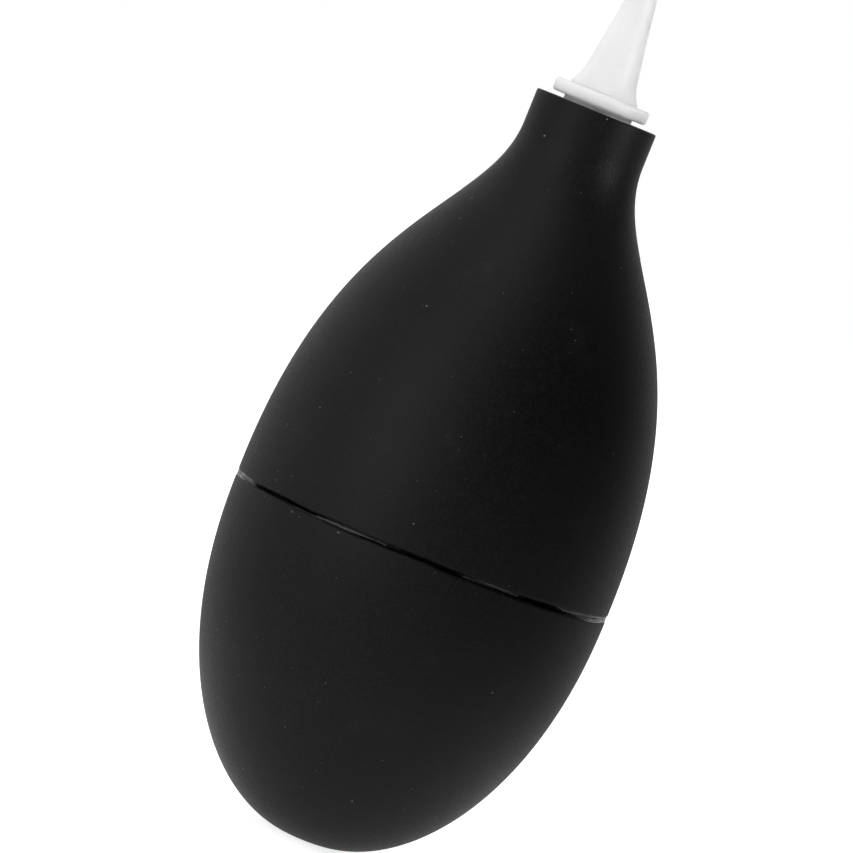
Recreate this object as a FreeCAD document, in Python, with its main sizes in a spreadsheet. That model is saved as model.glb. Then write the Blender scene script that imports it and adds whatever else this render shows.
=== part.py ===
"""Dust blower bulb for watch repair: a hand-squeezed air blower.

Two black rubber shells are bonded at a seam just below the widest girth and form an
egg-shaped air chamber.  A white plastic nozzle pushes into the neck of the upper shell.
A small one-way inlet valve sits in a boss inside the base of the lower shell: it lets
clean air in through a pin-sized hole in the base while the bulb springs back.

Frame: millimetres, +Z along the bulb's axis towards the nozzle, origin at the centre of
the rounded base.  Every piece is turned about Z.
"""

import os
import re

import FreeCAD
import Part
import Sketcher
from FreeCAD import Vector

# --------------------------------------------------------------------------------------
# Driving dimensions, in millimetres and degrees.  Each one can be changed by itself.
# A "fullness" or "sweep" is the length of a curve's tangent handle: the longer it is, the
# longer the curve keeps to that direction.
# --------------------------------------------------------------------------------------
DRIVING = [
    # the bulb's outside
    ("bulb_radius", 27.5, "widest outer radius of the bulb"),
    ("bulb_height", 108.5, "base to the flat top of the neck"),
    ("seam_height", 44.0, "base to the middle of the bonded seam"),
    ("belly_rise", 2.0, "seam to where the flank starts to curve in"),
    ("base_fullness", 14.4, "how far out the base keeps level"),
    ("flank_fullness", 27.2, "how far down the lower flank keeps upright"),
    ("shoulder_fullness", 38.1, "how far up the upper flank keeps upright"),
    ("neck_sweep", 13.5, "how far down the neck's line runs on"),
    ("neck_radius", 8.82, "outer radius of the neck"),
    ("neck_length", 4.9, "straight length of the neck"),
    ("neck_edge", 0.25, "rounding of the neck's top outer edge"),
    # walls
    ("wall", 2.6, "rubber wall of both shells"),
    ("bore_length", 8.9, "length of the bore in the neck"),
    ("core_sweep", 8.0, "how far down the bore's line runs on"),
    # the bonded seam
    ("seam_gap", 0.5, "open gap between the two rims"),
    ("rim_chamfer", 0.3, "chamfer on each rim's outer edge"),
    ("tongue_thickness", 1.3, "thickness of the tongue on the lower rim"),
    ("tongue_height", 3.0, "height of the tongue above the lower rim"),
    ("bond_gap", 0.05, "adhesive film round and above the tongue"),
    ("bead_recess", 0.6, "how far the bead lies below the bulb's surface"),
    # the inlet valve and its boss
    ("inlet_radius", 1.5, "radius of the air inlet hole"),
    ("floor", 3.4, "base to the floor of the valve's socket"),
    ("disc_radius", 3.0, "radius of the valve disc"),
    ("disc_thickness", 0.6, "thickness of the valve disc"),
    ("disc_gap", 0.6, "gap round the disc"),
    ("disc_lift", 0.9, "gap above the disc"),
    ("seat_height", 2.0, "valve body's foot to the floor of its chamber"),
    ("seat_rise", 0.4, "height of the raised ring that the disc seals on"),
    ("seat_width", 0.7, "width of that ring"),
    ("body_wall", 0.9, "wall of the valve body round its chamber"),
    ("collar_height", 4.9, "height of the valve body's wide collar"),
    ("spout_height", 1.9, "height of the valve body above its collar"),
    ("valve_gap", 0.05, "clearance between valve body and rubber"),
    ("lip_bite", 0.7, "how far the boss's lip reaches over the collar"),
    ("lip_height", 0.8, "height of that lip"),
    ("boss_wall", 2.3, "rubber round the valve's socket"),
    ("cage_plate", 0.8, "thickness of the cage's perforated plate"),
    ("cage_wall", 0.8, "wall of the cage's tube"),
    ("cage_flange", 0.7, "thickness of the cage's rim flange"),
    ("cage_gap", 0.03, "clearance between cage and valve body"),
    ("window_radius", 0.7, "radius of each air window in the cage"),
    ("window_count", 4, "number of air windows"),
    # the nozzle
    ("spigot_radius", 5.0, "outer radius of the nozzle's spigot"),
    ("spigot_gap", 0.05, "clearance between spigot and neck bore"),
    ("spigot_length", 8.2, "flange underside to the end of the spigot"),
    ("spigot_collar", 2.6, "plain length of the spigot below the flange"),
    ("spigot_bore", 3.3, "radius of the spigot's bore"),
    ("rib_depth", 0.3, "how far the spigot is relieved between its ribs"),
    ("rib_width", 0.9, "width of each sealing rib"),
    ("rib_count", 2, "number of sealing ribs"),
    ("flange_lift", 0.6, "gap between the neck and the nozzle's flange"),
    ("flange_radius", 6.9, "radius of the nozzle's flange"),
    ("flange_thickness", 1.9, "thickness of the nozzle's flange"),
    ("flange_round", 0.45, "rounding of the flange's edges"),
    ("flare_radius", 5.05, "nozzle radius where the flare meets the flange"),
    ("flare_height", 3.3, "height of the hollow flare"),
    ("flare_sweep", 1.4, "how far down the cone's line runs on"),
    ("flare_lean", 0.55, "how far the flare leans in as it leaves the flange"),
    ("cone_length", 14.9, "flange top to the nozzle's tip"),
    ("cone_angle", 8.7, "slope of the nozzle's cone, in degrees from the axis"),
    ("tip_radius", 1.95, "outer radius of the nozzle's tip"),
    ("tip_round", 0.35, "rounding of the tip's outer edge"),
    ("outlet_radius", 1.1, "radius of the air outlet"),
    ("outlet_length", 6.0, "straight length of the air outlet"),
]
FULL_TURN = 360.0
CUBIC = 3  # degree of the outline's curves
SAME = 1e-3  # two edges closer than this, in millimetres, are the same
X_AXIS, Y_AXIS = -1, -2  # Sketcher's numbers for a sketch's own axes
ORIGIN = (X_AXIS, 1)  # and for its origin point
FIRST, LAST, CENTRE = 1, 2, 3  # and for a curve's own points

doc = FreeCAD.newDocument("dust_blower_bulb")
sheet = doc.addObject("Spreadsheet::Sheet", "sizes")
for row, (alias, number, meaning) in enumerate(DRIVING, start=1):
    sheet.set(f"A{row}", alias)
    sheet.set(f"B{row}", str(number))
    sheet.set(f"C{row}", meaning)
    sheet.setAlias(f"B{row}", alias)
doc.recompute()

# --------------------------------------------------------------------------------------
# Places that more than one piece shares, as expressions of the driving dimensions
# --------------------------------------------------------------------------------------
# the seam
LOWER_RIM = "seam_height - seam_gap / 2"
UPPER_RIM = "seam_height + seam_gap / 2"
INNER_RADIUS = "bulb_radius - wall"
TONGUE_RADIUS = f"{INNER_RADIUS} + tongue_thickness"
TONGUE_TOP = f"{LOWER_RIM} + tongue_height"
# the neck and the nozzle in it
BORE_RADIUS = "spigot_radius + spigot_gap"
FLANGE_FOOT = "bulb_height + flange_lift"
FLANGE_TOP = f"{FLANGE_FOOT} + flange_thickness"
NOZZLE_TOP = f"{FLANGE_TOP} + cone_length"
# the inlet valve, from the inside out
CHAMBER_RADIUS = "disc_radius + disc_gap"
SPOUT_RADIUS = f"{CHAMBER_RADIUS} + body_wall"
LIP_RADIUS = f"{SPOUT_RADIUS} + valve_gap"
COLLAR_RADIUS = f"{LIP_RADIUS} + lip_bite"
SOCKET_RADIUS = f"{COLLAR_RADIUS} + valve_gap"
BOSS_RADIUS = f"{SOCKET_RADIUS} + boss_wall"
# and from the base up
VALVE_FOOT = "floor + valve_gap"
CHAMBER_FLOOR = f"{VALVE_FOOT} + seat_height"
SEAT_TOP = f"{CHAMBER_FLOOR} + seat_rise"
CAGE_FOOT = f"{SEAT_TOP} + disc_thickness + disc_lift"
COLLAR_TOP = f"{VALVE_FOOT} + collar_height"
LIP_FOOT = f"{COLLAR_TOP} + valve_gap"
BOSS_TOP = f"{LIP_FOOT} + lip_height"
SPOUT_TOP = f"{COLLAR_TOP} + spout_height"


def value_of(expression):
    """The number that an expression of driving dimensions comes to."""
    return float(sheet.evalExpression(expression))


def bound(expression):
    """The same expression as another object writes it, with the sheet's name."""
    aliases = "|".join(alias for alias, _, _ in DRIVING)
    return re.sub(rf"\b({aliases})\b", r"sizes.\1", expression)


# --------------------------------------------------------------------------------------
# Sketching: closed outlines in the (radius, height) half-plane
# --------------------------------------------------------------------------------------
def plane_of(body, role):
    return next(f for f in body.Origin.OriginFeatures if f.Role == role)


class Outline:
    """An outline drawn from corner to corner.

    Corners are pairs of expressions, (radius, height).  A run between two corners with
    the same radius is kept upright and one with the same height is kept level; every
    other size is a dimension bound to the spreadsheet.
    """

    def __init__(self, body, name, corner):
        self.sketch = body.newObject("Sketcher::SketchObject", name)
        self.sketch.AttachmentSupport = (plane_of(body, "XZ_Plane"), "")
        self.sketch.MapMode = "FlatFace"
        self.start = corner
        self.corner = corner
        self.runs = []

    def _vector(self, corner):
        return Vector(value_of(corner[0]), value_of(corner[1]), 0)

    def _hold(self, kind, *where):
        return self.sketch.addConstraint(Sketcher.Constraint(kind, *where))

    def _dimension(self, kind, geometry, point, expression):
        if expression == "0":
            axis = Y_AXIS if kind == "DistanceX" else X_AXIS
            self._hold("PointOnObject", geometry, point, axis)
            return
        index = self._hold(kind, *ORIGIN, geometry, point, value_of(expression))
        self.sketch.renameConstraint(index, f"size_{index}")
        self.sketch.setExpression(f"Constraints.size_{index}", bound(expression))

    def _place(self, geometry, point, corner):
        self._dimension("DistanceX", geometry, point, corner[0])
        self._dimension("DistanceY", geometry, point, corner[1])

    def _begin(self, geometry):
        """Ties a new run's first point to the run before it."""
        if self.runs:
            self._hold("Coincident", self.runs[-1], LAST, geometry, FIRST)
        else:
            self._place(geometry, FIRST, self.start)
        self.runs.append(geometry)

    def line(self, *corners):
        """Straight runs through the corners given."""
        for corner in corners:
            ends = self._vector(self.corner), self._vector(corner)
            geometry = self.sketch.addGeometry(Part.LineSegment(*ends), False)
            self._begin(geometry)
            if corner == self.start:
                self._hold("Coincident", geometry, LAST, self.runs[0], FIRST)
            elif corner[0] == self.corner[0]:
                self._hold("Vertical", geometry)
                self._dimension("DistanceY", geometry, LAST, corner[1])
            elif corner[1] == self.corner[1]:
                self._hold("Horizontal", geometry)
                self._dimension("DistanceX", geometry, LAST, corner[0])
            else:
                self._place(geometry, LAST, corner)
            self.corner = corner

    def curve(self, leaving, arriving, corner):
        """A smooth curve to a corner, with the handles that it leaves and arrives by."""
        poles = [self._vector(c) for c in (self.corner, leaving, arriving, corner)]
        spline = Part.BSplineCurve()
        ends = [CUBIC + 1, CUBIC + 1]
        spline.buildFromPolesMultsKnots(poles, ends, [0.0, 1.0], False, CUBIC)
        geometry = self.sketch.addGeometry(spline, False)
        self.sketch.exposeInternalGeometry(geometry)
        self._begin(geometry)
        self._place(geometry, LAST, corner)
        # The spline's poles follow it in the sketch, in order, as construction circles.
        self._place(geometry + 2, CENTRE, leaving)
        self._place(geometry + 3, CENTRE, arriving)
        self.corner = corner

    def close(self):
        self.line(self.start)
        return self.sketch


def new_body(name):
    body = doc.addObject("PartDesign::Body", name)
    body.Label = name
    return body


def rectangle(body, name, low, high):
    """The outline of a plain ring or plug between two opposite corners."""
    outline = Outline(body, name, low)
    outline.line((high[0], low[1]), high, (low[0], high[1]))
    return outline.close()


def turn(body, sketch, name, kind="PartDesign::Revolution"):
    """Turns a sketch once about the axis, adding to the body or cutting it away."""
    doc.recompute()
    feature = body.newObject(kind, name)
    feature.Profile = (sketch, [""])
    feature.ReferenceAxis = (sketch, ["V_Axis"])
    feature.Angle = FULL_TURN
    body.Tip = feature
    doc.recompute()
    return feature


def round_edges(body, feature, corners, radius, name):
    """Rounds the circular edges that pass through the corners given."""
    wanted = [(value_of(across), value_of(up)) for across, up in corners]
    found = []
    for i, edge in enumerate(feature.Shape.Edges, start=1):
        curve = edge.Curve
        if not isinstance(curve, Part.Circle):
            continue
        for across, up in wanted:
            if abs(curve.Radius - across) < SAME and abs(curve.Center.z - up) < SAME:
                found.append(f"Edge{i}")
    if len(found) != len(wanted):
        raise RuntimeError(f"{name}: found {len(found)} of {len(wanted)} edges to round")
    fillet = body.newObject("PartDesign::Fillet", name)
    fillet.Base = (feature, found)
    fillet.setExpression("Radius", bound(radius))
    body.Tip = fillet
    doc.recompute()
    return fillet


# --------------------------------------------------------------------------------------
# The bulb
# --------------------------------------------------------------------------------------
def make_upper_shell():
    """Neck, shoulder and upper flank, in one piece of rubber."""
    belly = "seam_height + belly_rise"
    neck_foot = "bulb_height - neck_length"
    bore_foot = "bulb_height - bore_length"
    rebate_radius = f"{TONGUE_RADIUS} + bond_gap"
    rebate_top = f"{TONGUE_TOP} + bond_gap"
    chamfer_foot = f"{UPPER_RIM} + rim_chamfer"

    body = new_body("upper_shell")
    outline = Outline(body, "upper_shell_outline", ("bulb_radius", chamfer_foot))
    outline.line(("bulb_radius", belly))
    outline.curve(
        ("bulb_radius", f"{belly} + shoulder_fullness"),
        ("neck_radius", f"{neck_foot} - neck_sweep"),
        ("neck_radius", neck_foot),
    )
    outline.line(("neck_radius", "bulb_height"), (BORE_RADIUS, "bulb_height"))
    outline.line((BORE_RADIUS, bore_foot))
    outline.curve(
        (BORE_RADIUS, f"{bore_foot} - core_sweep"),
        (INNER_RADIUS, f"{belly} + shoulder_fullness - wall / 2"),
        (INNER_RADIUS, rebate_top),
    )
    outline.line((rebate_radius, rebate_top), (rebate_radius, UPPER_RIM))
    outline.line(("bulb_radius - rim_chamfer", UPPER_RIM))
    turned = turn(body, outline.close(), "upper_shell_turned")
    round_edges(body, turned, [("neck_radius", "bulb_height")], "neck_edge", "neck_top_edge")
    return body


def make_lower_shell():
    """The rounded cup, with the tongue on its rim and the valve's boss inside."""
    chamfer_foot = f"{LOWER_RIM} - rim_chamfer"

    body = new_body("lower_shell")
    cup = Outline(body, "cup_outline", ("0", "0"))
    cup.line(("inlet_radius", "0"))
    cup.curve(
        ("base_fullness", "0"),
        ("bulb_radius", f"{chamfer_foot} - flank_fullness"),
        ("bulb_radius", chamfer_foot),
    )
    cup.line(("bulb_radius - rim_chamfer", LOWER_RIM), (TONGUE_RADIUS, LOWER_RIM))
    cup.line((TONGUE_RADIUS, TONGUE_TOP), (INNER_RADIUS, TONGUE_TOP))
    cup.line((INNER_RADIUS, chamfer_foot))
    cup.curve(
        (INNER_RADIUS, f"{chamfer_foot} - flank_fullness + wall / 2"),
        ("base_fullness - wall / 2", "wall"),
        ("0", "wall"),
    )
    turn(body, cup.close(), "cup")

    boss = rectangle(body, "boss_outline", ("0", "wall"), (BOSS_RADIUS, BOSS_TOP))
    turn(body, boss, "boss")

    socket = Outline(body, "socket_outline", ("0", "0"))
    socket.line(("inlet_radius", "0"), ("inlet_radius", "floor"))
    socket.line((SOCKET_RADIUS, "floor"), (SOCKET_RADIUS, LIP_FOOT))
    socket.line((LIP_RADIUS, LIP_FOOT), (LIP_RADIUS, BOSS_TOP), ("0", BOSS_TOP))
    turn(body, socket.close(), "socket", "PartDesign::Groove")
    return body


def make_seam_bead():
    """The cured adhesive at the bottom of the gap between the two rims."""
    body = new_body("seam_bead")
    low = (TONGUE_RADIUS, LOWER_RIM)
    high = ("bulb_radius - bead_recess", UPPER_RIM)
    turn(body, rectangle(body, "seam_bead_outline", low, high), "seam_bead_turned")
    return body


# --------------------------------------------------------------------------------------
# The nozzle: ribbed spigot, flange and slender cone, moulded in one
# --------------------------------------------------------------------------------------
def make_nozzle():
    foot = f"{FLANGE_FOOT} - spigot_length"
    collar_foot = f"{FLANGE_FOOT} - spigot_collar"
    pitch = "(spigot_length - spigot_collar) / rib_count"
    groove_radius = "spigot_radius - rib_depth"
    slope = "tan(cone_angle * 1 deg)"
    cone_foot = f"{FLANGE_TOP} + flare_height"
    cone_foot_radius = f"tip_radius + (cone_length - flare_height) * {slope}"

    body = new_body("nozzle")
    outline = Outline(body, "nozzle_outline", ("spigot_bore", foot))
    outline.line(("spigot_radius", foot))
    for rib in range(int(value_of("rib_count"))):
        rib_top = f"{foot} + {pitch} * {rib} + rib_width"
        groove_top = f"{foot} + {pitch} * {rib + 1}"
        outline.line(("spigot_radius", rib_top), (groove_radius, rib_top))
        outline.line((groove_radius, groove_top), ("spigot_radius", groove_top))
    outline.line(("spigot_radius", FLANGE_FOOT), ("flange_radius", FLANGE_FOOT))
    outline.line(("flange_radius", FLANGE_TOP), ("flare_radius", FLANGE_TOP))
    outline.curve(
        ("flare_radius - flare_lean", f"{FLANGE_TOP} + flare_sweep / 2"),
        (f"{cone_foot_radius} + flare_sweep * {slope}", f"{cone_foot} - flare_sweep"),
        (cone_foot_radius, cone_foot),
    )
    outline.line(("tip_radius", NOZZLE_TOP), ("outlet_radius", NOZZLE_TOP))
    outline.line(("outlet_radius", f"{NOZZLE_TOP} - outlet_length"))
    outline.line(("spigot_bore", collar_foot))
    turned = turn(body, outline.close(), "nozzle_turned")
    rims = [("flange_radius", FLANGE_FOOT), ("flange_radius", FLANGE_TOP)]
    rounded = round_edges(body, turned, rims, "flange_round", "flange_edges")
    round_edges(body, rounded, [("tip_radius", NOZZLE_TOP)], "tip_round", "tip_edge")
    return body


# --------------------------------------------------------------------------------------
# The inlet valve: its body in the boss, the disc on its seat and the cage above
# --------------------------------------------------------------------------------------
def make_valve_body():
    seat_radius = "inlet_radius + seat_width"

    body = new_body("valve_body")
    outline = Outline(body, "valve_body_outline", ("inlet_radius", VALVE_FOOT))
    outline.line((COLLAR_RADIUS, VALVE_FOOT), (COLLAR_RADIUS, COLLAR_TOP))
    outline.line((SPOUT_RADIUS, COLLAR_TOP), (SPOUT_RADIUS, SPOUT_TOP))
    outline.line((CHAMBER_RADIUS, SPOUT_TOP), (CHAMBER_RADIUS, CHAMBER_FLOOR))
    outline.line((seat_radius, CHAMBER_FLOOR), (seat_radius, SEAT_TOP))
    outline.line(("inlet_radius", SEAT_TOP))
    turn(body, outline.close(), "valve_body_turned")
    return body


def make_valve_disc():
    disc = doc.addObject("Part::Cylinder", "valve_disc")
    disc.Label = "valve_disc"
    disc.setExpression("Radius", bound("disc_radius"))
    disc.setExpression("Height", bound("disc_thickness"))
    disc.setExpression("Placement.Base.z", bound(SEAT_TOP))
    return disc


def make_valve_cage():
    plate_top = f"{CAGE_FOOT} + cage_plate"
    tube_radius = f"{CHAMBER_RADIUS} - cage_gap"
    well_radius = f"{tube_radius} - cage_wall"
    rim_top = f"{SPOUT_TOP} + cage_flange"

    body = new_body("valve_cage")
    outline = Outline(body, "valve_cage_outline", ("0", CAGE_FOOT))
    outline.line((tube_radius, CAGE_FOOT), (tube_radius, SPOUT_TOP))
    outline.line((SPOUT_RADIUS, SPOUT_TOP), (SPOUT_RADIUS, rim_top))
    outline.line((well_radius, rim_top), (well_radius, plate_top), ("0", plate_top))
    turned = turn(body, outline.close(), "valve_cage_turned")

    sketch = body.newObject("Sketcher::SketchObject", "air_window")
    sketch.AttachmentSupport = (plane_of(body, "XY_Plane"), "")
    sketch.MapMode = "FlatFace"
    ring = f"({well_radius}) / 2"
    circle = Part.Circle(Vector(value_of(ring), 0, 0), Vector(0, 0, 1), value_of("window_radius"))
    window = sketch.addGeometry(circle, False)
    sketch.addConstraint(Sketcher.Constraint("PointOnObject", window, CENTRE, X_AXIS))
    radius = Sketcher.Constraint("Radius", window, value_of("window_radius"))
    offset = Sketcher.Constraint("DistanceX", *ORIGIN, window, CENTRE, value_of(ring))
    for constraint, expression in ((radius, "window_radius"), (offset, ring)):
        index = sketch.addConstraint(constraint)
        sketch.renameConstraint(index, f"size_{index}")
        sketch.setExpression(f"Constraints.size_{index}", bound(expression))

    cut = body.newObject("PartDesign::Pocket", "window_cut")
    cut.Profile = (sketch, [""])
    cut.Type = "ThroughAll"
    cut.Reversed = True
    body.Tip = cut
    doc.recompute()
    if cut.Shape.Volume >= turned.Shape.Volume:
        raise RuntimeError("valve_cage: its window cuts nothing")
    windows = body.newObject("PartDesign::PolarPattern", "windows")
    windows.Originals = [cut]
    windows.Axis = (sketch, ["N_Axis"])
    windows.Angle = FULL_TURN
    windows.setExpression("Occurrences", bound("window_count"))
    body.Tip = windows
    doc.recompute()
    return body


PIECES = [
    make_upper_shell(),
    make_lower_shell(),
    make_seam_bead(),
    make_nozzle(),
    make_valve_body(),
    make_valve_disc(),
    make_valve_cage(),
]
doc.recompute()

# --------------------------------------------------------------------------------------
# Checks and export
# --------------------------------------------------------------------------------------
for thing in doc.Objects:
    if {"Invalid", "Error"} & set(thing.State):
        raise RuntimeError(f"{thing.Label} failed: {thing.State}")
for piece in PIECES:
    shape = piece.Shape
    if shape.isNull() or not shape.isValid() or len(shape.Solids) != 1:
        raise RuntimeError(f"{piece.Label} isn't one valid solid")

os.makedirs("parts", exist_ok=True)
for piece in PIECES:
    piece.Shape.exportStep(f"parts/{piece.Label}.step")
    box = piece.Shape.optimalBoundingBox(True, False)
    print(
        f"{piece.Label}: {piece.Shape.Volume:.1f} mm3, radius {box.XMax:.2f},"
        f" z {box.ZMin:.2f} to {box.ZMax:.2f}"
    )
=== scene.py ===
import math

import bmesh
import bpy
from mathutils import Matrix, Vector, noise


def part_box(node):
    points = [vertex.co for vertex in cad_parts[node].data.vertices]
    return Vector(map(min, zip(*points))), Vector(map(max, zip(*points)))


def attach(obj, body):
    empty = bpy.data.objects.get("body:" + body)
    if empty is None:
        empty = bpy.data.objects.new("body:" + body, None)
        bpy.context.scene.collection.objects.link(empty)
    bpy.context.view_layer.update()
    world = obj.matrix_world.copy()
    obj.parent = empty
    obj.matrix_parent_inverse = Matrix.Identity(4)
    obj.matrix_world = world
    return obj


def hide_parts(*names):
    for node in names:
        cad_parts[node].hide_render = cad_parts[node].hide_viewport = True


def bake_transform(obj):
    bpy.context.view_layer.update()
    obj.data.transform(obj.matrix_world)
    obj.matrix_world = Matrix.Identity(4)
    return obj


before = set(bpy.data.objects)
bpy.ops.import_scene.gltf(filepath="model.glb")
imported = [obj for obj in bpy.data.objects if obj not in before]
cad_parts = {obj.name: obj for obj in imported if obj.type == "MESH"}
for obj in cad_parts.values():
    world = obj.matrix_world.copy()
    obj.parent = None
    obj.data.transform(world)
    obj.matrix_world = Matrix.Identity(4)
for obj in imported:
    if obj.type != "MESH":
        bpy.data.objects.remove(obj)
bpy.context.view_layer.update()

MM = 0.001

# ------------------------------------------------------------------ places, from the CAD
upper_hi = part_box("upper_shell")[1]
lower_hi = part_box("lower_shell")[1]
bead_lo, bead_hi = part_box("seam_bead")
nozzle_lo, nozzle_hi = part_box("nozzle")
R = upper_hi.x  # the bulb's widest radius
TOP = upper_hi.z  # top of the neck
TONGUE_TOP = lower_hi.z
SEAM = (bead_lo.z + bead_hi.z) / 2
LOW_RIM, HIGH_RIM = bead_lo.z, bead_hi.z
FLANGE_R = nozzle_hi.x
TIP = nozzle_hi.z

# ------------------------------------------------------------------ sizes inside those places
WALL = 2.6 * MM
CHAMFER = 0.3 * MM  # on each rim's outer edge
NECK_R = 8.82 * MM
NECK_LENGTH = 4.9 * MM
NECK_SWEEP = 13.5 * MM  # how far down the neck's line runs on
BORE_R = 5.05 * MM
BORE_LENGTH = 8.9 * MM
BORE_SWEEP = 8.0 * MM
BELLY_RISE = 2.0 * MM  # from the seam to where the flank starts to curve in
SHOULDER_FULLNESS = 38.1 * MM  # how far up the upper flank keeps upright
FLANK_FULLNESS = 27.2 * MM  # how far down the lower flank keeps upright
BASE_FULLNESS = 14.4 * MM  # how far out the base keeps level
TONGUE = 1.3 * MM
BOND_GAP = 0.05 * MM
INLET_R = 1.5 * MM
SOCKET_FLOOR = 3.4 * MM
SOCKET_R = 5.3 * MM
LIP_FOOT = 8.4 * MM
LIP_R = 4.55 * MM
BOSS_TOP = 9.2 * MM
BOSS_R = 7.6 * MM
SPIGOT_R = 5.0 * MM
NOZZLE_BORE_R = 3.3 * MM
OUTLET_R = 1.1 * MM
OUTLET_LENGTH = 6.0 * MM
TIP_R = 1.95 * MM
CONE_SLOPE = math.tan(math.radians(8.7))
FLANGE_GAP = 0.6 * MM  # between the neck's top and the flange
FLANGE_THICK = 1.9 * MM
FLARE_HEIGHT = 3.3 * MM
FLARE_R = 5.01 * MM  # the flare's foot, on the flange

SEAM_HALF = (HIGH_RIM - LOW_RIM) / 2
INNER_R = R - WALL
TONGUE_R = INNER_R + TONGUE

# how many steps each turned mesh takes round the axis
SHELL_STEPS, GLUE_STEPS, NOZZLE_STEPS = 320, 900, 224

# ------------------------------------------------------------------ mesh helpers


def bezier(a, b, c, d, n):
    """Points along a cubic curve, from a to d."""
    out = []
    for i in range(n + 1):
        t = i / n
        s = 1 - t
        out.append(tuple(
            s ** 3 * p + 3 * s * s * t * q + 3 * s * t * t * u + t ** 3 * v
            for p, q, u, v in zip(a, b, c, d)))
    return out


def straight(a, b, step):
    """Points between a and b, both left out, no further apart than step."""
    n = max(1, math.ceil(math.dist(a, b) / step))
    return [tuple(p + (q - p) * i / n for p, q in zip(a, b)) for i in range(1, n)]


def rounded(corners, step=1.5 * MM, turns=5):
    """A closed outline through (radius, height, rounding) corners, long runs divided.

    A list of points in place of a corner is a curve and is kept as it is.
    """
    flat = []
    for c in corners:
        flat += [(p[0], p[1], 0.0) for p in c] if isinstance(c, list) else [c]
    out = []
    n = len(flat)
    for i, (x, y, rounding) in enumerate(flat):
        p, a, b = Vector((x, y)), Vector(flat[i - 1][:2]), Vector(flat[(i + 1) % n][:2])
        if rounding <= 0:
            out.append((x, y))
            continue
        u, v = (a - p), (b - p)
        reach = min(u.length, v.length) * 0.48
        u.normalize()
        v.normalize()
        half = u.angle(v) / 2
        cut = min(rounding / math.tan(half), reach)
        radius = cut * math.tan(half)
        centre = p + (u + v).normalized() * (radius / math.sin(half))
        first, last = p + u * cut, p + v * cut
        for k in range(turns + 1):
            w = (first - centre).lerp(last - centre, k / turns).normalized()
            out.append(tuple(centre + w * radius))
    divided = []
    for i, p in enumerate(out):
        divided.append(p)
        divided += straight(p, out[(i + 1) % len(out)], step)
    return divided


def lathe(name, outline, segments, wobble=None):
    """A closed outline turned once about Z.  wobble moves each point in and up."""
    verts, faces = [], []
    n = len(outline)
    for k in range(segments):
        a = 2 * math.pi * k / segments
        for r, z in outline:
            if wobble:
                dr, dz = wobble(r, z, a)
                verts.append(((r + dr) * math.cos(a), (r + dr) * math.sin(a), z + dz))
            else:
                verts.append((r * math.cos(a), r * math.sin(a), z))
    for k in range(segments):
        here, there = k * n, (k + 1) % segments * n
        for i in range(n):
            j = (i + 1) % n
            faces.append((here + i, there + i, there + j, here + j))
    mesh = bpy.data.meshes.new(name)
    mesh.from_pydata(verts, [], faces)
    mesh.update()
    obj = bpy.data.objects.new(name, mesh)
    bpy.context.scene.collection.objects.link(obj)
    area = sum(outline[i - 1][0] * outline[i][1] - outline[i][0] * outline[i - 1][1]
               for i in range(n))
    if area < 0:
        mesh.flip_normals()
    mesh.polygons.foreach_set("use_smooth", [True] * len(mesh.polygons))
    return obj


def ripple(r, z, a, size, seed):
    """Smooth noise, about -1 to 1, on the surface at an angle and height."""
    p = Vector((r * math.cos(a), r * math.sin(a), z)) / size
    return noise.noise(p + Vector((seed, seed * 0.7, -seed)))


# ------------------------------------------------------------------ materials


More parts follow.
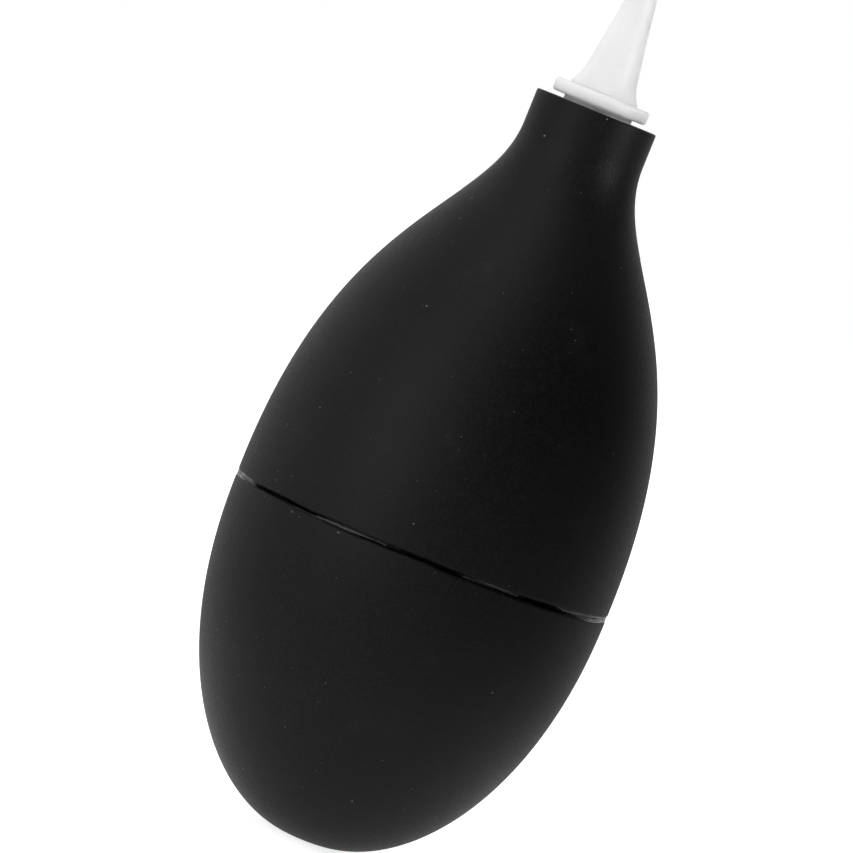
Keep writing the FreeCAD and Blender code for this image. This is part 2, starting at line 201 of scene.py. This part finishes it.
class Nodes:
    """A new material with a Principled shader, built up call by call."""

    def __init__(self, name):
        self.material = bpy.data.materials.new(name)
        self.material.use_nodes = True
        self.tree = self.material.node_tree
        self.shader = self.tree.nodes["Principled BSDF"]
        self.where = self.add("ShaderNodeTexCoord").outputs["Object"]

    def add(self, kind, **values):
        node = self.tree.nodes.new(kind)
        for key, value in values.items():
            if key in node.inputs:
                node.inputs[key].default_value = value
            else:
                setattr(node, key, value)
        return node

    def link(self, a, b):
        self.tree.links.new(a, b)

    def noise(self, size, detail=3.0, rough=0.55, stretch=None):
        """Noise with features of about the size given, in metres."""
        node = self.add("ShaderNodeTexNoise", Scale=1 / size, Detail=detail, Roughness=rough)
        where = self.where
        if stretch:
            mapping = self.add("ShaderNodeMapping")
            mapping.inputs["Scale"].default_value = stretch
            self.link(where, mapping.inputs["Vector"])
            where = mapping.outputs["Vector"]
        self.link(where, node.inputs["Vector"])
        return node.outputs["Fac"]

    def remap(self, value, low, high, to_low, to_high, kind="SMOOTHSTEP"):
        node = self.add("ShaderNodeMapRange", interpolation_type=kind)
        self.link(value, node.inputs["Value"])
        for key, number in (("From Min", low), ("From Max", high),
                            ("To Min", to_low), ("To Max", to_high)):
            node.inputs[key].default_value = number
        return node.outputs["Result"]

    def mix(self, amount, a, b):
        node = self.add("ShaderNodeMix", data_type="RGBA")
        self.link(amount, node.inputs["Factor"])
        for key, colour in (("A", a), ("B", b)):
            socket = next(s for s in node.inputs if s.name == key and s.type == "RGBA")
            if isinstance(colour, tuple):
                socket.default_value = (*colour, 1.0)
            else:
                self.link(colour, socket)
        return next(s for s in node.outputs if s.type == "RGBA")

    def math(self, how, a, b):
        node = self.add("ShaderNodeMath", operation=how)
        for socket, value in zip(node.inputs, (a, b)):
            if isinstance(value, float):
                socket.default_value = value
            else:
                self.link(value, socket)
        return node.outputs[0]

    def bump(self, height, strength, distance, after=None):
        node = self.add("ShaderNodeBump", Strength=strength, Distance=distance)
        self.link(height, node.inputs["Height"])
        if after:
            self.link(after, node.inputs["Normal"])
        return node.outputs["Normal"]

    def specks(self, cell, size):
        """1 on sparse round specks, 0 elsewhere."""
        node = self.add("ShaderNodeTexVoronoi", Scale=1 / cell, Randomness=1.0)
        self.link(self.where, node.inputs["Vector"])
        return self.remap(node.outputs["Distance"], size / cell * 0.5, size / cell, 1.0, 0.0)

    def set(self, **values):
        for key, value in values.items():
            socket = self.shader.inputs[key.replace("_", " ")]
            if isinstance(value, (int, float, tuple)):
                socket.default_value = value
            else:
                self.link(value, socket)
        return self.material


def rubber(name, dust=1.0):
    m = Nodes(name)
    cloud = m.remap(m.noise(26 * MM, 4), 0.35, 0.7, 0.0, 1.0)
    colour = m.mix(cloud, (0.0020, 0.0020, 0.0021), (0.0034, 0.0034, 0.0035))
    grain = m.noise(0.42 * MM, 3, 0.7)
    colour = m.mix(m.remap(grain, 0.42, 0.66, 0.0, 0.7), colour, (0.0075, 0.0075, 0.0077))
    scuff = m.remap(m.noise(7 * MM, 5, 0.65), 0.56, 0.8, 0.0, 0.35 * dust)
    colour = m.mix(scuff, colour, (0.014, 0.014, 0.014))
    patches = m.remap(m.noise(15 * MM, 2), 0.42, 0.58, 0.15, 1.0)
    specks = m.math("MAXIMUM", m.specks(3.0 * MM, 0.15 * MM), m.specks(1.6 * MM, 0.08 * MM))
    specks = m.math("MULTIPLY", specks, m.remap(m.noise(1.1 * MM, 1), 0.35, 0.65, 0.1, 1.0))
    specks = m.math("MULTIPLY", specks, m.math("MULTIPLY", patches, 1.0 * dust))
    colour = m.mix(specks, colour, (0.28, 0.275, 0.27))
    rough = m.remap(m.noise(18 * MM, 3), 0.3, 0.75, 0.46, 0.50)
    rough = m.math("ADD", rough, m.remap(grain, 0.3, 0.7, -0.05, 0.06))
    normal = m.bump(grain, 0.5, 0.10 * MM)
    normal = m.bump(m.noise(2.5 * MM, 3), 0.15, 0.08 * MM, normal)
    return m.set(
        Base_Color=colour, Roughness=rough, Normal=normal, Specular_IOR_Level=0.14,
        Sheen_Weight=0.003, Sheen_Roughness=0.45)


def adhesive(name, smooth, dull, specular):
    m = Nodes(name)
    cloud = m.remap(m.noise(3 * MM, 3), 0.4, 0.7, 0.0, 1.0)
    colour = m.mix(cloud, (0.0012, 0.0012, 0.0013), (0.0032, 0.0032, 0.0034))
    rough = m.remap(m.noise(1.4 * MM, 3, 0.6), 0.35, 0.7, smooth, dull)
    normal = m.bump(m.noise(0.9 * MM, 2), 0.35, 0.08 * MM)
    return m.set(Base_Color=colour, Roughness=rough, Normal=normal, Specular_IOR_Level=specular)


def white_plastic(name, base, shade, rough_low, rough_high, painted_shade_below=None):
    """White plastic; below the height given, it is darkened with painted shade, standing in for the
    shade in the gap under the flange.
    """
    m = Nodes(name)
    cloud = m.remap(m.noise(6 * MM, 4), 0.35, 0.75, 0.0, 1.0)
    colour = m.mix(cloud, base, shade)
    if painted_shade_below:
        # painted shade: darker below the given height, for the gap's shade on the spigot, with a
        # noisy edge
        parts = m.add("ShaderNodeSeparateXYZ")
        m.link(m.where, parts.inputs[0])
        shade_edge_noise = m.remap(m.noise(1.2 * MM, 3), 0.3, 0.7, -0.15 * MM, 0.15 * MM)
        height = m.math("ADD", parts.outputs["Z"], shade_edge_noise)
        gap_shade = m.remap(height, painted_shade_below - 0.6 * MM, painted_shade_below, 0.2, 0.0)
        colour = m.mix(gap_shade, colour, (0.10, 0.10, 0.10))
    smudge = m.remap(m.noise(1.8 * MM, 4, 0.7), 0.60, 0.80, 0.0, 0.30)
    colour = m.mix(smudge, colour, tuple(c * 0.82 for c in shade))
    specks = m.specks(1.4 * MM, 0.06 * MM)
    colour = m.mix(m.math("MULTIPLY", specks, 0.5), colour, (0.30, 0.28, 0.25))
    rough = m.remap(m.noise(3 * MM, 4), 0.3, 0.7, rough_low, rough_high)
    normal = m.bump(m.noise(0.25 * MM, 2), 0.12, 0.03 * MM)
    normal = m.bump(m.noise(4 * MM, 2), 0.2, 0.06 * MM, normal)
    return m.set(
        Base_Color=colour, Roughness=rough, Normal=normal, Specular_IOR_Level=0.4,
        Subsurface_Weight=0.9, Subsurface_Radius=(1.0, 1.0, 0.97),
        Subsurface_Scale=4 * MM)


RUBBER = rubber("bulb_rubber")
ADHESIVE = adhesive("seam_adhesive", 0.24, 0.36, 0.90)
# the nozzle's spigot gets painted shade below the flange's foot
WHITE = white_plastic("nozzle_plastic", (0.84, 0.84, 0.835), (0.80, 0.80, 0.79), 0.42, 0.52,
                      painted_shade_below=TOP + FLANGE_GAP)
VALVE_PLASTIC = white_plastic("valve_plastic", (0.72, 0.72, 0.70), (0.62, 0.62, 0.60), 0.4, 0.55)
CRACK_BLACK = adhesive("seam_crack", 0.45, 0.60, 0.06)
VALVE_RUBBER = rubber("valve_rubber", dust=0.3)


def dress(obj, material):
    obj.data.materials.clear()
    obj.data.materials.append(material)
    return obj


# ------------------------------------------------------------------ the rubber shells


def rim_waver(z, a, edge, seed):
    """How far a hand-trimmed rim strays up or down, fading away from its edge."""
    near = max(0.0, 1 - abs(z - edge) / (0.8 * MM))
    stray = ripple(R, edge, a, 6 * MM, seed) + 0.4 * ripple(R, edge, a, 1.5 * MM, seed)
    return near * 0.13 * MM * stray


def swell(r, z, a, seed):
    """The slight unevenness of moulded rubber, always inwards of the true outline."""
    return 0.03 * MM * (ripple(r, z, a, 24 * MM, seed) - 0.6)


def upper_wobble(r, z, a):
    return swell(r, z, a, 3.1), rim_waver(z, a, HIGH_RIM, 5.2)


def lower_wobble(r, z, a):
    fade = min(1.0, max(0.0, (r - 8 * MM) / (8 * MM)))
    rise = rim_waver(z, a, LOW_RIM, 1.7) if z < LOW_RIM + 0.2 * MM else 0.0
    return swell(r, z, a, 8.4) * fade, rise


def mark_rims(obj, material):
    """Gives the flat faces of the seam's gap a material of their own."""
    obj.data.materials.append(material)
    reach = SEAM_HALF + 0.12 * MM
    for face in obj.data.polygons:
        r = math.hypot(face.center.x, face.center.y)
        if TONGUE_R < r < R - CHAMFER and abs(face.center.z - SEAM) < reach:
            face.material_index = 1


def upper_outline():
    """The upper shell's section: rim, shoulder, neck, bore, inner wall and rebate."""
    belly = SEAM + BELLY_RISE
    neck_foot = TOP - NECK_LENGTH
    bore_foot = TOP - BORE_LENGTH
    rebate_r = TONGUE_R + BOND_GAP
    rebate_top = TONGUE_TOP + BOND_GAP
    outside = bezier((R, belly), (R, belly + SHOULDER_FULLNESS),
                     (NECK_R, neck_foot - NECK_SWEEP), (NECK_R, neck_foot), 90)
    inside = bezier((BORE_R, bore_foot), (BORE_R, bore_foot - BORE_SWEEP),
                    (INNER_R, belly + SHOULDER_FULLNESS - WALL / 2), (INNER_R, rebate_top), 50)
    return rounded([
        (R - CHAMFER, HIGH_RIM, 0.05 * MM),
        (R, HIGH_RIM + CHAMFER, 0.16 * MM),
        outside,
        (NECK_R, TOP, 0.25 * MM),
        (BORE_R, TOP, 0.18 * MM),
        inside,
        (rebate_r, rebate_top, 0.05 * MM),
        (rebate_r, HIGH_RIM, 0.05 * MM),
    ], step=1.2 * MM)


def lower_outline():
    """The lower shell's section: inlet, base, rim, tongue, inner wall, boss and socket."""
    edge = LOW_RIM - CHAMFER
    outside = bezier((INLET_R + 0.35 * MM, 0), (BASE_FULLNESS, 0), (R, edge - FLANK_FULLNESS),
                     (R, edge - 0.15 * MM), 90)
    inside = bezier((INNER_R, edge), (INNER_R, edge - FLANK_FULLNESS + WALL / 2),
                    (BASE_FULLNESS - WALL / 2, WALL), (0.0, WALL), 90)
    inside = [p for p in inside if p[0] > BOSS_R + 0.5 * MM]
    return rounded([
        (INLET_R, 0.35 * MM, 0.30 * MM),
        outside,
        (R, edge, 0.16 * MM),
        (R - CHAMFER, LOW_RIM, 0.05 * MM),
        (TONGUE_R, LOW_RIM, 0.05 * MM),
        (TONGUE_R, TONGUE_TOP, 0.2 * MM),
        (INNER_R, TONGUE_TOP, 0.2 * MM),
        inside,
        (BOSS_R, inside[-1][1] - 0.05 * MM, 0.5 * MM),
        (BOSS_R, BOSS_TOP, 0.4 * MM),
        (LIP_R, BOSS_TOP, 0.2 * MM),
        (LIP_R, LIP_FOOT, 0.05 * MM),
        (SOCKET_R, LIP_FOOT, 0.05 * MM),
        (SOCKET_R, SOCKET_FLOOR, 0.05 * MM),
        (INLET_R, SOCKET_FLOOR, 0.05 * MM),
    ], step=1.2 * MM)


upper_skin = dress(lathe("upper_skin", upper_outline(), SHELL_STEPS, upper_wobble),
                   RUBBER)
mark_rims(upper_skin, CRACK_BLACK)
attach(upper_skin, "bulb")
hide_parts("upper_shell")

lower_skin = dress(lathe("lower_skin", lower_outline(), SHELL_STEPS, lower_wobble),
                   RUBBER)
mark_rims(lower_skin, CRACK_BLACK)
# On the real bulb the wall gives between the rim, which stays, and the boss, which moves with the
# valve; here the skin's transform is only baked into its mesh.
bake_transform(lower_skin)
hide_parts("lower_shell")

# ------------------------------------------------------------------ the adhesive
# It lies in a crack at the bottom of the gap, and has run out over the rims in places.
GLUE_R = bead_hi.x
CRACK = 0.45 * MM  # how much deeper the crack's middle is
GLUE = [  # (degrees from +X, cover on the lower rim, height between, cover on the upper rim)
    (-180, 1.0, 1.0, 1.0), (-168, 1.0, 1.0, 1.0), (-158, 0.5, 0.7, 0.9), (-150, 0.1, 0.1, 0.3),
    (-144, 0.4, 0.0, 0.0), (-126, 0.4, 0.0, 0.0), (-119, 0.5, 1.0, 0.3), (-106, 0.2, 1.0, 0.6),
    (-98, 0.0, 0.4, 0.4), (-91, 0.0, 0.0, 0.0), (-80, 0.0, 0.0, 0.0), (-73, 0.0, 0.7, 0.6),
    (-61, 0.0, 0.6, 0.6), (-52, 0.0, 0.1, 0.2), (-44, 0.0, 0.1, 0.2), (-37, 0.3, 0.6, 0.7),
    (-28, 0.9, 1.0, 1.0), (-14, 1.0, 1.0, 1.0), (12, 1.0, 1.0, 1.0), (28, 0.2, 0.1, 0.3),
    (50, 0.0, 0.7, 0.2), (72, 0.8, 0.5, 0.1), (95, 0.2, 0.0, 0.0), (118, 0.1, 0.7, 0.3),
    (140, 0.4, 0.1, 0.6), (158, 0.9, 0.8, 1.0), (180, 1.0, 1.0, 1.0)]


def ease(t):
    t = min(1.0, max(0.0, t))
    return t * t * (3 - 2 * t)


def glue_at(a):
    """How far the adhesive has run, at an angle: on the lower rim, between, on the upper."""
    degrees = (math.degrees(a) + 180) % 360 - 180
    for low, high in zip(GLUE, GLUE[1:]):
        if degrees <= high[0]:
            t = ease((degrees - low[0]) / (high[0] - low[0]))
            return [p + (q - p) * t for p, q in zip(low[1:], high[1:])]


def glue_wobble(r, z, a):
    """Draws the adhesive back into the crack, or out over the rims where it covers them."""
    if r < GLUE_R - 0.01 * MM:
        return 0.0, 0.0
    t = (z - SEAM) / SEAM_HALF
    lower, between, upper = glue_at(a)
    ragged = 1 + 0.3 * ripple(R, SEAM, a, 3.0 * MM, 4.9)
    crown = t + 0.15 * ripple(R, SEAM, a, 4 * MM, 2.2)
    cover = max(lower * ease(0.1 - t * 2), upper * ease(0.1 + t * 2), between * (1 - crown ** 2 * 5))
    cover = min(1.0, max(0.0, cover * ragged))
    deep = GLUE_R - CRACK * (1 - abs(t))
    proud = R - 0.05 * MM - 0.09 * MM * t * t
    hidden = SEAM_HALF + 0.12 * MM
    spread = SEAM_HALF + CHAMFER * 0.95
    reach = hidden + (spread - hidden) * cover
    return deep + (proud - deep) * cover - r, SEAM + reach * t - z


def glue_outline():
    face = [(GLUE_R, SEAM + SEAM_HALF * t / 10) for t in range(-10, 11)]
    return [(TONGUE_R, LOW_RIM), *face, (TONGUE_R, HIGH_RIM)]


def mark_crack(obj, material):
    """Gives the faces that lie deep in the gap a material of their own."""
    obj.data.materials.append(material)
    for face in obj.data.polygons:
        if math.hypot(face.center.x, face.center.y) < GLUE_R - 0.02 * MM:
            face.material_index = 1


SMEARS = [  # (degrees from +X, height above the seam, half width)
    (-131, -0.95 * MM, 0.16 * MM), (-128, -1.15 * MM, 0.09 * MM), (-114, -0.9 * MM, 0.15 * MM),
    (-137, 4.1 * MM, 0.11 * MM), (-112, 6.2 * MM, 0.10 * MM), (-84, -0.85 * MM, 0.09 * MM),
    (-62, 1.0 * MM, 0.10 * MM), (34, -1.0 * MM, 0.14 * MM), (97, 0.9 * MM, 0.15 * MM)]


def smear(obj, spots):
    """Adds tiny smears of adhesive, sunk into the rubber beside the seam."""
    mesh = bmesh.new()
    mesh.from_mesh(obj.data)
    flank_curve = 190 * MM  # how gently the upper flank falls away from its widest radius
    for degrees, above, wide in spots:
        a = math.radians(degrees)
        out = Vector((math.cos(a), math.sin(a), 0.0))
        r = R - 0.02 * MM - max(0.0, above) ** 2 / flank_curve
        place = Matrix.Translation(out * r + Vector((0, 0, SEAM + above)))
        turn = out.to_track_quat("X", "Z").to_matrix().to_4x4()
        shape = Matrix.Diagonal((0.25, 1.6, 0.8, 1.0))
        bmesh.ops.create_icosphere(
            mesh, subdivisions=2, radius=wide, matrix=place @ turn @ shape)
    mesh.to_mesh(obj.data)
    mesh.free()
    obj.data.polygons.foreach_set("use_smooth", [True] * len(obj.data.polygons))


seam_glue = dress(lathe("seam_glue", glue_outline(), GLUE_STEPS, glue_wobble),
                  ADHESIVE)
mark_crack(seam_glue, CRACK_BLACK)
smear(seam_glue, SMEARS)
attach(seam_glue, "bulb")
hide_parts("seam_bead")

# ------------------------------------------------------------------ the nozzle


def spigot_ribs(foot, top, count=2):
    """Corners of the ribs and grooves round the spigot."""
    pitch = (top - foot) / count
    groove_r = SPIGOT_R - 0.3 * MM
    ribs = []
    for i in range(count):
        rib_top, groove_top = foot + pitch * i + 0.9 * MM, foot + pitch * (i + 1)
        ribs += [
            (SPIGOT_R, rib_top, 0.12 * MM), (groove_r, rib_top, 0.1 * MM),
            (groove_r, groove_top, 0.1 * MM), (SPIGOT_R, groove_top, 0.12 * MM)]
    return ribs


def nozzle_outline():
    """The nozzle's section: spigot, flange, undercut, flare, cone and bore."""
    foot = nozzle_lo.z
    flange_foot = TOP + FLANGE_GAP
    flange_top = flange_foot + FLANGE_THICK
    collar = flange_foot - 2.6 * MM
    cone_foot = flange_top + FLARE_HEIGHT
    cone_foot_r = TIP_R + (TIP - cone_foot) * CONE_SLOPE
    lead = 1.4 * MM  # how far the cone's line runs on into the flare
    flare = bezier((FLARE_R, flange_top + 0.19 * MM), (FLARE_R - 0.51 * MM, flange_top + 0.7 * MM),
                   (cone_foot_r + lead * CONE_SLOPE, cone_foot - lead), (cone_foot_r, cone_foot),
                   24)
    return rounded([
        (NOZZLE_BORE_R, foot, 0.15 * MM),
        (SPIGOT_R, foot, 0.25 * MM),
        *spigot_ribs(foot, collar),
        (SPIGOT_R, flange_foot, 0.06 * MM),
        (FLANGE_R, flange_foot, 0.45 * MM),
        (FLANGE_R, flange_top, 0.5 * MM),
        (FLARE_R - 0.15 * MM, flange_top, 0.03 * MM),
        (FLARE_R - 0.17 * MM, flange_top + 0.14 * MM, 0.04 * MM),
        flare,
        (TIP_R, TIP, 0.35 * MM),
        (OUTLET_R, TIP, 0.12 * MM),
        (OUTLET_R, TIP - OUTLET_LENGTH, 0.3 * MM),
        (NOZZLE_BORE_R, collar, 0.5 * MM),
    ], step=0.6 * MM)


def nozzle_wobble(r, z, a):
    """The slight unevenness of a cheap moulding, above the neck only."""
    if z < TOP:
        return 0.0, 0.0
    return 0.012 * MM * (ripple(r, z, a, 5 * MM, 7.7) - 1), 0.0


nozzle_skin = dress(lathe("nozzle_skin", nozzle_outline(), NOZZLE_STEPS, nozzle_wobble),
                    WHITE)
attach(nozzle_skin, "nozzle_body")
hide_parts("nozzle")

# ------------------------------------------------------------------ the inlet valve
for node, material in (("valve_body", VALVE_PLASTIC), ("valve_cage", VALVE_PLASTIC),
                       ("valve_disc", VALVE_RUBBER)):
    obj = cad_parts[node]
    obj.data.materials.clear()
    obj.data.materials.append(material)

# ------------------------------------------------------------------ floor, light, camera


def floor_material():
    """Pale paper.  It glows white to the eye, and sheds most light close to the bulb's foot."""
    m = Nodes("pale_floor")
    cloud = m.remap(m.noise(0.25, 3), 0.3, 0.7, 0.0, 1.0)
    colour = m.mix(cloud, (0.90, 0.90, 0.90), (0.93, 0.93, 0.93))
    away = m.add("ShaderNodeVectorMath", operation="LENGTH")
    m.link(m.where, away.inputs[0])
    seen = m.remap(away.outputs["Value"], 0.03, 0.30, 0.80, 0.95)
    shed = m.remap(away.outputs["Value"], 0.04, 0.12, 0.56, 0.10)
    glow = m.add("ShaderNodeMix")
    m.link(m.add("ShaderNodeLightPath").outputs["Is Camera Ray"], glow.inputs["Factor"])
    m.link(shed, glow.inputs["A"])
    m.link(seen, glow.inputs["B"])
    return m.set(Base_Color=colour, Roughness=0.8, Specular_IOR_Level=0.2,
                 Emission_Color=(1.0, 1.0, 1.0, 1.0), Emission_Strength=glow.outputs["Result"])


def make_floor(half):
    mesh = bpy.data.meshes.new("floor")
    corners = [(-half, -half, 0), (half, -half, 0), (half, half, 0), (-half, half, 0)]
    mesh.from_pydata(corners, [], [(0, 1, 2, 3)])
    obj = bpy.data.objects.new("floor", mesh)
    bpy.context.scene.collection.objects.link(obj)
    obj.data.materials.append(floor_material())
    return obj


floor = make_floor(4.0)


def aimed(name, light, place, target):
    """Puts a light in the scene, pointing from its place at the target."""
    obj = bpy.data.objects.new(name, light)
    obj.location = place
    away = Vector(place) - Vector(target)
    obj.rotation_euler = away.to_track_quat("Z", "Y").to_euler()
    bpy.context.scene.collection.objects.link(obj)
    return obj


def softbox(name, place, target, size, watts):
    light = bpy.data.lights.new(name, "AREA")
    light.shape = "SQUARE"
    light.size = size
    light.energy = watts
    aimed(name, light, place, target).visible_camera = False


def snoot(name, place, target, degrees, watts):
    """A narrow lamp."""
    light = bpy.data.lights.new(name, "SPOT")
    light.spot_size = math.radians(degrees)
    light.spot_blend = 0.3
    light.shadow_soft_size = 0.04
    light.energy = watts
    aimed(name, light, place, target)


middle = (0.0, 0.0, 0.06)
softbox("key", (-0.60, -0.75, 0.30), middle, 0.60, 2.6)
softbox("top", (-0.20, -0.32, 0.80), middle, 0.50, 1.45)
snoot("nozzle_fill", (0.75, -0.35, 0.32), (0.0, 0.0, TIP + 5.5 * MM), 3.2, 51.0)


def studio_world():
    """White all round to the eye; what it sheds falls off from left to right, most in front."""
    world = bpy.data.worlds.new("studio")
    world.use_nodes = True
    tree = world.node_tree
    tree.nodes.clear()

    def add(kind, **values):
        node = tree.nodes.new(kind)
        for key, value in values.items():
            node.inputs[key].default_value = value
        return node

    def ramp(value, low, high, to_low, to_high):
        node = add("ShaderNodeMapRange")
        node.interpolation_type = "SMOOTHSTEP"
        for socket, number in zip(node.inputs[1:5], (low, high, to_low, to_high)):
            socket.default_value = number
        tree.links.new(value, node.inputs["Value"])
        return node.outputs["Result"]

    parts = add("ShaderNodeSeparateXYZ")
    tree.links.new(add("ShaderNodeTexCoord").outputs["Generated"], parts.inputs[0])
    blend = add("ShaderNodeMix")
    for key, value in (
            ("Factor", ramp(parts.outputs["Y"], 0.2, 0.9, 0.0, 1.0)),
            ("A", ramp(parts.outputs["X"], -0.9, 0.5, 0.92, 0.07)),
            ("B", ramp(parts.outputs["X"], -0.9, 0.9, 0.90, 0.54))):
        tree.links.new(value, blend.inputs[key])
    lit = add("ShaderNodeBackground")
    tree.links.new(blend.outputs["Result"], lit.inputs["Strength"])
    seen = add("ShaderNodeBackground", Strength=1.0)
    for node in (lit, seen):
        node.inputs["Color"].default_value = (1.0, 1.0, 1.0, 1.0)
    mix = add("ShaderNodeMixShader")
    path = add("ShaderNodeLightPath")
    tree.links.new(path.outputs["Is Camera Ray"], mix.inputs["Fac"])
    tree.links.new(lit.outputs[0], mix.inputs[1])
    tree.links.new(seen.outputs[0], mix.inputs[2])
    tree.links.new(mix.outputs[0], add("ShaderNodeOutputWorld").inputs["Surface"])
    return world


bpy.context.scene.world = studio_world()

bpy.context.scene.view_settings.view_transform = "Standard"
bpy.context.scene.view_settings.look = "None"


def make_camera(aim, elevation, roll, distance, view_width):
    """A camera in front that looks down by elevation and is rolled, so the bulb leans right."""
    back = Vector((0.0, -math.cos(elevation), math.sin(elevation)))
    right = Vector((1.0, 0.0, 0.0))
    up = back.cross(right)
    rolled_right = math.cos(roll) * right + math.sin(roll) * up
    rolled_up = math.cos(roll) * up - math.sin(roll) * right
    data = bpy.data.cameras.new("camera")
    data.sensor_width = 36.0
    data.lens = data.sensor_width * distance / view_width
    data.clip_end = 50.0
    obj = bpy.data.objects.new("camera", data)
    turn = Matrix((rolled_right, rolled_up, back)).transposed().to_4x4()
    obj.matrix_world = Matrix.Translation(aim + back * distance) @ turn
    bpy.context.scene.collection.objects.link(obj)
    return obj


bpy.context.scene.camera = make_camera(
    aim=Vector((-5.53 * MM, 0.0, 59.38 * MM)), elevation=math.radians(3.27),
    roll=math.radians(21.97), distance=0.9475, view_width=117.85 * MM)
